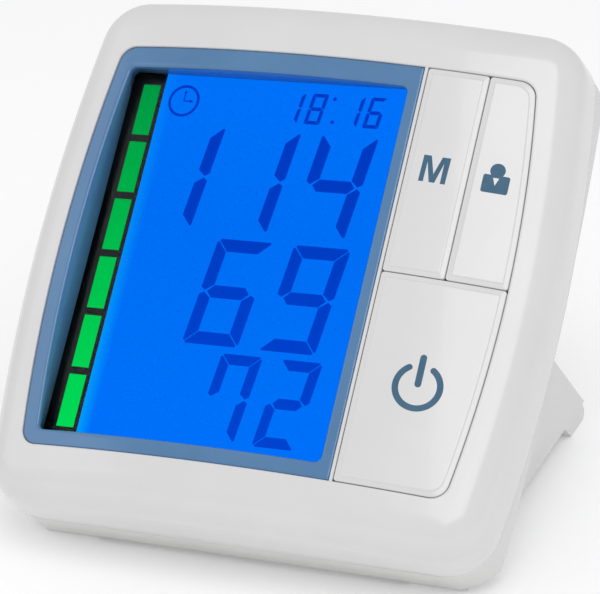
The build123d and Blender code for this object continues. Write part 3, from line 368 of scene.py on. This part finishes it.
def ring_of(sides):
    """One closed ring, counter-clockwise, from four sides."""
    low, right_side, high, left_side = sides
    return np.r_[low[:-1], right_side[:-1], high[::-1][:-1], left_side[::-1][:-1]]


def mirrored(side_set):
    """The same four sides seen in a mirror, so that the left side is the bowed one."""
    low, right_side, high, left_side = (s * (-1, 1) for s in side_set)
    return low[::-1], left_side, high[::-1], right_side


def bezel_ring(inset):
    """Outer edge of the bezel, moved in from the opening; its left side is the bowed one."""
    corner = OPENING["corner"] - inset
    return ring_of(mirrored(cornered(
        -BEZEL_RIGHT + inset, OPENING["half"] - inset, -OPENING["bottom"] + inset, OPENING["top"] - inset,
        OPENING["bow"] - inset, (0.3, corner, corner + 0.6, 0.3))))


def aperture_ring(grow):
    """Foot of the well, just over the window."""
    left, right, bottom, top = APERTURE
    return ring_of(cornered(left - grow, right + grow, bottom - grow, top + grow,
                            STRAIGHT, [APERTURE_CORNER + grow] * 4))


def lip_ring(grow):
    """Upper edge of the well; its left side bows out, so that the wall there slopes."""
    _, right, bottom, top = APERTURE
    return ring_of(mirrored(cornered(-right - grow, LIP_LEFT + grow, bottom - grow, top + grow,
                                     LIP_BOW + grow, [APERTURE_CORNER + grow] * 4)))


# Pairs of inset and sink, up the outer edge to the band.
BEZEL_EDGE = ((0.1, BEZEL_DEPTH), (0.1, BEZEL_SINK + 0.3), (0.18, BEZEL_SINK + 0.08), (0.4, BEZEL_SINK))
rings = [on_face(bezel_ring(inset), sink) for inset, sink in BEZEL_EDGE]
band_out, band_in = bezel_ring(BEZEL_EDGE[-1][0]), lip_ring(LIP_ROUND)
for t in np.linspace(0, 1, 8)[1:]:
    rings.append(on_face(band_out * (1 - t) + band_in * t, BEZEL_SINK))
for a in np.radians((18, 36, 54, 72, 90)):
    rings.append(on_face(lip_ring(LIP_ROUND * (1 - math.sin(a))), BEZEL_SINK + LIP_ROUND * (1 - math.cos(a))))
rings.append(on_window(aperture_ring(0.0)))
rings.append(on_window(aperture_ring(BEZEL_WALL)))
rings.append(on_face(lip_ring(BEZEL_WALL), BEZEL_SINK + BEZEL_SKIN))
rings.append(on_face(bezel_ring(0.1 + BEZEL_WALL), BEZEL_SINK + BEZEL_SKIN))
rings.append(on_face(bezel_ring(0.1 + BEZEL_WALL), BEZEL_DEPTH))
points, faces = loft(rings, closed=True)
bezel = mesh_piece("bezel_frame", to_world(points), faces)
steel_blue = moulded("steel_blue_plastic", (0.062, 0.178, 0.36, 1), (0.08, 0.21, 0.405, 1),
                     0.16, 0.05, 1100.0, 0.000008, coat=0.5)
steel_blue.put(bezel)
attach(bezel, "housing")
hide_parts("display_bezel")


# Window: a clear flat acrylic plate that rests on the display holder under the bezel.
# It keeps its CAD solid and gets a clear finish with faint haze.
acrylic = Finish("clear_acrylic", Transmission_Weight=1.0, IOR=1.02, Base_Color=(0.96, 0.98, 1.0, 1),
                 Specular_IOR_Level=0.3)
acrylic.feed(Roughness=acrylic.noise(60.0) * 0.02 + 0.01)
acrylic.put(nodes["display_window"])


# Display: a liquid crystal glass lit blue from behind, with a black strip on its left
# that carries a column of green bars. The lit shapes are thin films on the glass.
FILM = 0.03
LIT_LEFT, LIT_RIGHT, LIT_BOTTOM, LIT_TOP = -28.2, 38.6, -50.0, 48.4
GLOW_FOOT = 0.032
GLOW_RISE = 0.072
STRIP_EDGE = -0.0431
SPILL_REACH = 0.0035
SPILL_COLOUR = (0.0, 0.5, 1.0, 1)


def films(name, shapes, low, high):
    """Thin prisms on the display from flat outlines."""
    points, faces = [], []
    for shape in shapes:
        start, count = len(points), len(shape)
        points += [(x, u, low) for x, u in shape] + [(x, u, high) for x, u in shape]
        faces.append([start + i for i in range(count)])
        faces.append([start + count + i for i in range(count)])
        for i in range(count):
            j = (i + 1) % count
            faces.append([start + i, start + j, start + count + j, start + count + i])
    return mesh_piece(name, to_world(display_points(points)), faces, smooth=False)


def glowing(name, low, high, strength, spill=0.0):
    """Lit film whose glow changes down the display, low colour at the foot. Spill is
    the paler light that escapes beside the bar strip, most of it near the foot."""
    finish = Finish(name, Roughness=0.4, Specular_IOR_Level=0.0, Emission_Strength=strength)
    height = finish.node("ShaderNodeSeparateXYZ", "Z", Vector=finish.place)
    along = (height - GLOW_FOOT) * (1 / GLOW_RISE) + (finish.noise(30.0, 2.0) - 0.5) * 0.12
    middle = [(a + b) / 2 * 0.94 for a, b in zip(low[:3], high[:3])] + [1]
    glow = finish.ramp(along, (0.0, low), (0.55, middle), (1.0, high))
    if spill:
        across = finish.node("ShaderNodeSeparateXYZ", "X", Vector=finish.place)
        near = (1.0 - (across - STRIP_EDGE) * (1 / SPILL_REACH)).math("MAXIMUM", 0.0)
        glow = finish.node("ShaderNodeMixRGB", "Color", Fac=near * (1.15 - along) * spill,
                           Color1=glow, Color2=SPILL_COLOUR)
    finish.feed(Emission_Color=glow)
    finish.shader.inputs["Base Color"].default_value = [0.04 * c for c in high[:3]] + [1]
    return finish


glass_finish = Finish("dark_display_glass", Roughness=0.15, Specular_IOR_Level=0.3)
glass_finish.feed(Base_Color=glass_finish.ramp(
    glass_finish.noise(50.0), (0.3, (0.004, 0.005, 0.006, 1)), (0.7, (0.007, 0.008, 0.009, 1))))
glass_finish.put(nodes["lcd_panel"])

lit_outline = [(LIT_LEFT, LIT_BOTTOM), (LIT_RIGHT, LIT_BOTTOM), (LIT_RIGHT, LIT_TOP), (LIT_LEFT, LIT_TOP)]
lit_field = films("lit_field", [lit_outline], 0.0, FILM)
glowing("blue_back_glow", (0.0, 0.17, 0.97, 1), (0.0, 0.175, 0.98, 1), 0.95, spill=0.5).put(lit_field)
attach(lit_field, "housing")

SLANT = 0.11
LIT_BARS = {"1": "bc", "2": "abged", "4": "fgbc", "6": "afgedc", "7": "fabc", "8": "abcdefg", "9": "abfgcd"}


def digit(mark, x, u, w, h, stroke):
    """Leaning outlines of the lit segments of one digit, mitred where they meet. It is
    2 w wide and 2 h high between the middles of its strokes; s is half a stroke, g the
    gap between segments and c the cut at the outer corners."""
    s, g, c = stroke / 2, stroke * 0.055, stroke * 0.28
    flat = [(-w - s + c, h + s), (w + s - c, h + s), (w + s - c / 2 - g, h + s - c / 2),
            (w - s - g, h - s), (-w + s + g, h - s), (-w - s + c / 2 + g, h + s - c / 2)]
    upright = [(w + s, h + s - c), (w + s - c / 2, h + s - c / 2 - g), (w - s, h - s - g),
               (w - s, s + g), (w + 0.3 * s, g), (w + s, 0.5 * s + g)]
    middle = [(-w + 1.5 * g, 0), (-w + s + g, s), (w - s - g, s), (w - 1.5 * g, 0), (w - s - g, -s), (-w + s + g, -s)]
    bars = {
        "a": (flat, 1, 1), "d": (flat, 1, -1), "g": (middle, 1, 1),
        "b": (upright, 1, 1), "c": (upright, 1, -1), "f": (upright, -1, 1), "e": (upright, -1, -1),
    }
    shapes = []
    for name in LIT_BARS[mark]:
        shape, side, way = bars[name]
        shapes.append([(x + side * px + SLANT * way * pu, u + way * pu) for px, pu in shape])
    return shapes


# Each row: its digits, the x of each one's middle, then u, half width, half height and stroke.
READING = (
    ("114", (-17.45, 3.35, 24.3), (21.55, 5.95, 12.15, 3.25)),
    ("69", (3.2, 23.9), (-8.1, 5.95, 12.15, 3.25)),
    ("72", (9.95, 25.95), (-34.85, 4.17, 9.85, 2.7)),
    ("1816", (8.65, 14.85, 24.85, 30.7), (41.55, 1.65, 3.65, 0.95)),
)
signs = []
for marks, places, size in READING:
    for mark, x in zip(marks, places):
        signs += digit(mark, x, *size)
for x, u in ((19.2, 44.5), (19.9, 38.4)):
    signs.append(arc(x, u, 0.5, 0, 2 * math.pi, 13)[:-1])

CLOCK_X, CLOCK_U = -21.9, 41.4
HAND_HALF = 0.16
HEAD_HALF = 0.5
HEAD_LENGTH = 0.9
inside, outside = (arc(CLOCK_X, CLOCK_U, r, 0, 2 * math.pi, 49) for r in (3.6, 4.3))
for i in range(48):
    signs.append([inside[i], outside[i], outside[i + 1], inside[i + 1]])
for length, start, upright in ((2.1, -HAND_HALF, True), (1.7, HAND_HALF, False)):
    hand = [(start, -HAND_HALF), (start, HAND_HALF), (length, HAND_HALF), (length, -HAND_HALF)]
    point = [(length, -HEAD_HALF), (length + HEAD_LENGTH, 0), (length, HEAD_HALF)]
    for shape in (hand, point):
        signs.append([(CLOCK_X + (b if upright else a), CLOCK_U + (a if upright else b)) for a, b in shape])
segments = films("display_segments", signs, FILM, 2 * FILM)
glowing("segment_blue", (0.0, 0.062, 0.66, 1), (0.0, 0.042, 0.55, 1), 0.93).put(segments)
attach(segments, "housing")


def bar_tree():
    """Column of equal bars: a counted line of boxes along the display."""
    tree = bpy.data.node_groups.new("bar_column", "GeometryNodeTree")
    face = tree.interface
    face.new_socket("Geometry", in_out="OUTPUT", socket_type="NodeSocketGeometry")
    inputs = {}
    for name, kind in (("Bars", "Int"), ("Pitch", "Vector"), ("Size", "Vector"), ("First", "Vector"),
                       ("Turn", "Rotation"), ("Finish", "Material")):
        inputs[name] = face.new_socket(name, in_out="INPUT", socket_type="NodeSocket" + kind).identifier
    entry, leave = tree.nodes.new("NodeGroupInput"), tree.nodes.new("NodeGroupOutput")
    line = tree.nodes.new("GeometryNodeMeshLine")
    line.mode = "OFFSET"
    cube = tree.nodes.new("GeometryNodeMeshCube")
    put = tree.nodes.new("GeometryNodeInstanceOnPoints")
    real = tree.nodes.new("GeometryNodeRealizeInstances")
    paint = tree.nodes.new("GeometryNodeSetMaterial")
    given = entry.outputs
    for a, b in ((given["Bars"], line.inputs["Count"]), (given["First"], line.inputs["Start Location"]),
                 (given["Pitch"], line.inputs["Offset"]), (given["Size"], cube.inputs["Size"]),
                 (given["Turn"], put.inputs["Rotation"]), (line.outputs[0], put.inputs["Points"]),
                 (cube.outputs["Mesh"], put.inputs["Instance"]), (put.outputs[0], real.inputs[0]),
                 (real.outputs[0], paint.inputs[0]), (given["Finish"], paint.inputs["Material"]),
                 (paint.outputs[0], leave.inputs[0])):
        tree.links.new(a, b)
    return tree, inputs


def grown(name, tree, values):
    """Plain mesh made by a node tree with these named inputs."""
    group, inputs = tree
    seed = bpy.data.objects.new(name, bpy.data.meshes.new(name))
    bpy.context.scene.collection.objects.link(seed)
    modifier = seed.modifiers.new("grow", "NODES")
    modifier.node_group = group
    for key, value in values.items():
        modifier[inputs[key]] = value
    bpy.context.view_layer.update()
    made = bpy.data.meshes.new_from_object(seed.evaluated_get(bpy.context.evaluated_depsgraph_get()))
    seed.modifiers.clear()
    seed.data = made
    return seed


display_axes = FACE_AXES @ Matrix.Rotation(-DISPLAY_TURN, 3, "Y")
green_glow = glowing("green_bar_glow", (0.0, 0.78, 0.1, 1), (0.0, 0.27, 0.055, 1), 0.92)
BAR_X, BAR_WIDTH, BAR_HEIGHT, BAR_PITCH, FIRST_BAR = -31.75, 4.7, 13.6, 15.58, -39.6
first = to_world(display_points([(BAR_X, FIRST_BAR, FILM)]))[0]
step = to_world(display_points([(BAR_X, FIRST_BAR + BAR_PITCH, FILM)]))[0] - first
bars = grown("green_bars", bar_tree(), {
    "Bars": 6, "Pitch": tuple(step), "First": tuple(first), "Turn": tuple(display_axes.to_euler()),
    "Size": (BAR_WIDTH / 1000, BAR_HEIGHT / 1000, 2 * FILM / 1000), "Finish": green_glow.material,
})
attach(bars, "housing")


# Keys: three large caps whose tops follow the face, each with a fine stepped edge and
# its sign printed in slate blue ink. They share one glossy white moulding resin.
KEY_STEP = 0.2
KEY_SKIRT = 4.0
KEY_WALL = 1.1
KEY_SKIN = 2.0
CROWN_INSET = 1.6
KEY_BOW = OPENING["bow"] - 0.22
KEY_CORNER = 0.7
OUTER_CORNER = 4.2
# Left, right, bottom, top, bow of the right side and the radii of the four corners.
KEYS = {
    "memory": (28.42, 43.58, 0.12, 52.98, STRAIGHT, (KEY_CORNER, KEY_CORNER, KEY_CORNER, KEY_CORNER)),
    "user": (43.82, 58.78, 0.12, 52.98, KEY_BOW, (KEY_CORNER, KEY_CORNER, OUTER_CORNER, KEY_CORNER)),
    "power": (28.42, 58.78, -52.98, -0.12, KEY_BOW, (KEY_CORNER, OUTER_CORNER, KEY_CORNER, KEY_CORNER)),
}
# Pairs of inset and sink, from the inner foot of the skirt over the step to the crown.
KEY_PROFILE = (
    (KEY_WALL, KEY_SKIRT), (0.0, KEY_SKIRT), (0.0, KEY_STEP + 0.2), (0.05, KEY_STEP + 0.06), (0.18, KEY_STEP),
    (1.1, KEY_STEP), (1.22, KEY_STEP - 0.03), (1.3, KEY_STEP / 2), (1.4, 0.02), (CROWN_INSET, 0.0),
)


def key_sides(key, inset):
    left, right, bottom, top, bow, radii = KEYS[key]
    return cornered(left + inset, right - inset, bottom + inset, top - inset, bow - inset,
                    [r - inset * 0.5 for r in radii])


def coons(sides):
    """Grid of points that fills four sides."""
    low, right_side, high, left_side = sides
    n = len(low)
    s = np.linspace(0, 1, n)[None, :, None]
    t = np.linspace(0, 1, n)[:, None, None]
    across = (1 - t) * low[None] + t * high[None]
    upward = (1 - s) * left_side[:, None] + s * right_side[:, None]
    corner = ((1 - s) * (1 - t) * low[0] + s * (1 - t) * low[-1] + (1 - s) * t * high[0] + s * t * high[-1])
    return across + upward - corner


def key_mesh(key):
    """Cap from skirt to crown as rings, closed by a grid on top and a ceiling inside."""
    points, faces = loft([on_face(ring_of(key_sides(key, inset)), sink) for inset, sink in KEY_PROFILE])
    grid = coons(key_sides(key, CROWN_INSET))
    n = grid.shape[0]
    base = len(points)
    points = np.r_[points, on_face(grid.reshape(-1, 2))]
    for i in range(n - 1):
        for j in range(n - 1):
            a = base + i * n + j
            faces.append((a, a + 1, a + n + 1, a + n))
    inside = on_face(ring_of(key_sides(key, KEY_WALL)), KEY_SKIN)
    start = len(points)
    points = np.r_[points, inside]
    count = len(inside)
    for k in range(count):
        m = (k + 1) % count
        faces.append((k, m, start + m, start + k))
    faces.append(tuple(range(start, start + count)))
    return mesh_piece(key + "_cap", to_world(points), faces)


key_white = moulded("glossy_white_key", (0.685, 0.68, 0.678, 1), (0.71, 0.705, 0.703, 1),
                    0.2, 0.04, 900.0, 0.000008, coat=0.4)
for key in KEYS:
    cap = key_white.put(key_mesh(key))
    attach(cap, key + "_key")
    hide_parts(key + "_button")

slate_ink = Finish("slate_ink", Roughness=0.45, Specular_IOR_Level=0.3)
slate_ink.feed(Base_Color=slate_ink.ramp(
    slate_ink.noise(400.0), (0.3, (0.040, 0.115, 0.19, 1)), (0.7, (0.052, 0.135, 0.215, 1))))
INK_LIFT = 0.02
INK_CELL = 0.7


def printed(name, shapes, body):
    """Ink laid on the curved face: flat outlines cut into cells and wrapped onto it."""
    mesh = bpy.data.meshes.new(name)
    ink = bmesh.new()
    for shape in shapes:
        ink.faces.new([ink.verts.new((x, u, 0)) for x, u in shape])
    ink.normal_update()
    bmesh.ops.triangulate(ink, faces=ink.faces)
    for axis in (0, 1):
        for at in np.arange(-60, 61, INK_CELL):
            point, way = [0, 0, 0], [0, 0, 0]
            point[axis], way[axis] = at, 1
            bmesh.ops.bisect_plane(ink, geom=ink.verts[:] + ink.edges[:] + ink.faces[:], plane_co=point, plane_no=way)
    raised = bmesh.ops.extrude_face_region(ink, geom=ink.faces[:])
    for v in (g for g in raised["geom"] if isinstance(g, bmesh.types.BMVert)):
        v.co.z = 1
    flat = np.array([v.co[:] for v in ink.verts])
    wrapped = to_world(np.c_[flat[:, :2], face_n(flat[:, 0]) + INK_LIFT * (2 * flat[:, 2] - 1)])
    for v, p in zip(ink.verts, wrapped):
        v.co = p
    bmesh.ops.recalc_face_normals(ink, faces=ink.faces)
    ink.to_mesh(mesh)
    ink.free()
    piece = bpy.data.objects.new(name, mesh)
    bpy.context.scene.collection.objects.link(piece)
    slate_ink.put(piece)
    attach(piece, body)


LETTER = [
    (32.1, 23.75), (33.3, 23.75), (33.4, 28.9), (34.75, 23.75), (36.1, 23.75), (37.5, 28.9), (37.5, 23.7),
    (38.7, 23.7), (38.9, 30.5), (36.85, 30.5), (35.45, 25.9), (34.1, 30.55), (32.25, 30.55),
]
printed("memory_letter", [LETTER], "memory_key")

left, right, bottom, top, cut = 47.35, 53.85, 23.45, 28.05, 0.35
collar_left, collar_right, collar_top, collar_tip = 49.75, 51.25, 27.35, (50.5, 25.35)
left_half = [
    (left, bottom + cut), (left + cut, bottom), (collar_tip[0], bottom), collar_tip,
    (collar_left, collar_top), (collar_left, top), (left + cut, top), (left, top - cut),
]
right_half = [
    (collar_tip[0], bottom), (right - cut, bottom), (right, bottom + cut), (right, top - cut),
    (right - cut, top), (collar_right, top), (collar_right, collar_top), collar_tip,
]
throat = [(collar_left, collar_top), (collar_right, collar_top), (collar_right, top), (collar_left, top)]
printed("user_sign", [left_half, right_half, throat], "user_key")
HEAD_X, HEAD_U, HEAD_RADIUS = 50.55, 29.25, 1.85
neck = math.asin((top - HEAD_U) / HEAD_RADIUS)
printed("user_sign_head", [arc(HEAD_X, HEAD_U, HEAD_RADIUS, neck, math.pi - neck, 36)], "user_key")

POWER_X, POWER_U, POWER_RADIUS = 43.2, -27.2, 5.34
RING_HALF, BAR_HALF = 0.765, 0.8
BAR_FOOT, BAR_TOP = (43.15, -26.55), (43.15, -19.95)
RING_START, RING_END = math.radians(123), math.radians(417)
first_tip, last_tip = arc(POWER_X, POWER_U, POWER_RADIUS, RING_START, RING_END, 2)
open_ring = (
    arc(POWER_X, POWER_U, POWER_RADIUS + RING_HALF, RING_START, RING_END, 70)
    + arc(*last_tip, RING_HALF, RING_END, RING_END + math.pi, 10)[1:-1]
    + arc(POWER_X, POWER_U, POWER_RADIUS - RING_HALF, RING_END, RING_START, 70)
    + arc(*first_tip, RING_HALF, RING_START + math.pi, RING_START + 2 * math.pi, 10)[1:-1])
printed("power_ring", [open_ring], "power_key")
round_bar = arc(*BAR_TOP, BAR_HALF, 0, math.pi, 10) + arc(*BAR_FOOT, BAR_HALF, math.pi, 2 * math.pi, 10)
printed("power_bar", [round_bar], "power_key")


# Rear housing and battery door: satin white mouldings with a fine spark texture. They
# keep their CAD solids.
satin_white = moulded("satin_white_shell", (0.66, 0.66, 0.65, 1), (0.70, 0.70, 0.69, 1),
                      0.38, 0.08, 2600.0, 0.00003)
for name in ("rear_housing", "battery_door"):
    satin_white.put(nodes[name])


# Inside and behind: board, switches, screws, cells, pump, valve and air lines keep
# their CAD solids, each with the finish of its real material.
def metal(name, low, high, roughness, metallic=1.0):
    finish = Finish(name, Metallic=metallic)
    finish.feed(Base_Color=finish.ramp(finish.noise(220.0), (0.3, low), (0.7, high)))
    finish.feed(Roughness=finish.noise(500.0) * 0.12 + (roughness - 0.06))
    finish.bump(finish.noise(1500.0), 0.15, 0.00001)
    return finish


finishes = {
    "screw_steel": metal("screw_steel", grey(0.42), grey(0.52), 0.3),
    "contact_metal": metal("nickel_plate", (0.55, 0.54, 0.52, 1), (0.64, 0.63, 0.60, 1), 0.25),
    "aluminium_can": metal("aluminium_can", grey(0.68), grey(0.76), 0.35),
    "brass_part": metal("turned_brass", (0.62, 0.42, 0.16, 1), (0.72, 0.52, 0.24, 1), 0.28),
    "magnet": metal("magnet_iron", grey(0.07), grey(0.12), 0.55, 0.6),
    "coil": metal("copper_wire", (0.42, 0.13, 0.05, 1), (0.52, 0.18, 0.07, 1), 0.4, 0.7),
    "cell": moulded("cell_wrapper", (0.02, 0.025, 0.04, 1), (0.03, 0.035, 0.055, 1),
                    0.22, 0.05, 900.0, 0.000005, coat=0.6),
    "board": moulded("board_lacquer", (0.012, 0.085, 0.035, 1), (0.02, 0.11, 0.05, 1), 0.3, 0.1, 700.0, 0.00002),
    "component_black": moulded("black_plastic", grey(0.014), grey(0.022), 0.42, 0.1, 1500.0, 0.00002),
    "inner_plastic": moulded("grey_plastic", grey(0.40), grey(0.46), 0.42, 0.1, 1500.0, 0.00002),
    "strip_rubber": moulded("dark_rubber", grey(0.02), grey(0.032), 0.7, 0.1, 1200.0, 0.00004),
    "tube": moulded("silicone_tube", (0.60, 0.60, 0.57, 1), (0.66, 0.66, 0.63, 1), 0.35, 0.08, 500.0, 0.00001),
    "light_guide": moulded("light_guide", (0.60, 0.66, 0.74, 1), (0.68, 0.73, 0.80, 1), 0.3, 0.05, 700.0, 0.00001),
}
for part in frame["record"]["subparts"]:
    if part["material_slot"] in finishes:
        finishes[part["material_slot"]].put(nodes[part["node"]])


# Stage: a pale floor that shows white to the camera and keeps the soft shadow, a soft
# overhead lamp, a fill from the left, and the camera at the photograph's angle.
floor = mesh_piece("floor", [(-3, -3, 0), (3, -3, 0), (3, 3, 0), (-3, 3, 0)], [(0, 1, 2, 3)], smooth=False)
floor_finish = Finish("pale_floor", Roughness=0.9, Specular_IOR_Level=0.0, Base_Color=grey(0.92),
                      Emission_Color=grey(1.0), Emission_Strength=0.14)
floor_finish.put(floor)

world = bpy.data.worlds.new("soft_room")
bpy.context.scene.world = world
world.use_nodes = True
sky = world.node_tree
sky.nodes.clear()
room = sky.nodes.new("ShaderNodeBackground")
room.inputs[0].default_value = (0.965, 0.965, 0.98, 1)
room.inputs[1].default_value = 0.735
white = sky.nodes.new("ShaderNodeBackground")
white.inputs[1].default_value = 1.0
rays = sky.nodes.new("ShaderNodeLightPath")
mix = sky.nodes.new("ShaderNodeMixShader")
out = sky.nodes.new("ShaderNodeOutputWorld")
sky.links.new(rays.outputs["Is Camera Ray"], mix.inputs[0])
sky.links.new(room.outputs[0], mix.inputs[1])
sky.links.new(white.outputs[0], mix.inputs[2])
sky.links.new(mix.outputs[0], out.inputs[0])


def lamp(name, place, size, power):
    """Rectangular lamp aimed at the middle of the monitor."""
    light = bpy.data.lights.new(name, "AREA")
    light.shape = "RECTANGLE"
    light.size, light.size_y = size
    light.energy = power
    holder = bpy.data.objects.new(name, light)
    holder.location = place
    holder.rotation_euler = (Vector((0, 0, 0.06)) - Vector(place)).to_track_quat("-Z", "Y").to_euler()
    bpy.context.scene.collection.objects.link(holder)


lamp("overhead_box", (0.42, -0.55, 1.15), (0.75, 0.9), 4.8)
lamp("left_fill", (-1.1, -0.5, 0.7), (0.8, 0.8), 1.0)

# The camera's own axes and its distance, seen from the face, in millimetres.
EYE_AXES = Matrix(((0.9238, 0.2238, -0.3106), (-0.1076, 0.9304, 0.3504), (0.3674, -0.2903, 0.8836)))
EYE_SHIFT = Vector((-7.22, 9.97, -842.31))
FOCAL_PIXELS = 3492.2
PHOTO_WIDTH = 600
SENSOR_WIDTH = 36.0
camera_data = bpy.data.cameras.new("camera")
camera_data.sensor_width = SENSOR_WIDTH
camera_data.sensor_fit = "HORIZONTAL"
camera_data.lens = FOCAL_PIXELS * SENSOR_WIDTH / PHOTO_WIDTH
camera_data.clip_end = 10
camera = bpy.data.objects.new("camera", camera_data)
bpy.context.scene.collection.objects.link(camera)
turn = (FACE_AXES @ EYE_AXES.transposed()).to_quaternion()
eye = FACE_AXES @ (-(EYE_AXES.transposed() @ EYE_SHIFT)) + FACE_ORIGIN
camera.matrix_world = Matrix.Translation(eye / 1000) @ turn.to_matrix().to_4x4()
bpy.context.scene.camera = camera
bpy.context.scene.view_settings.view_transform = "Standard"
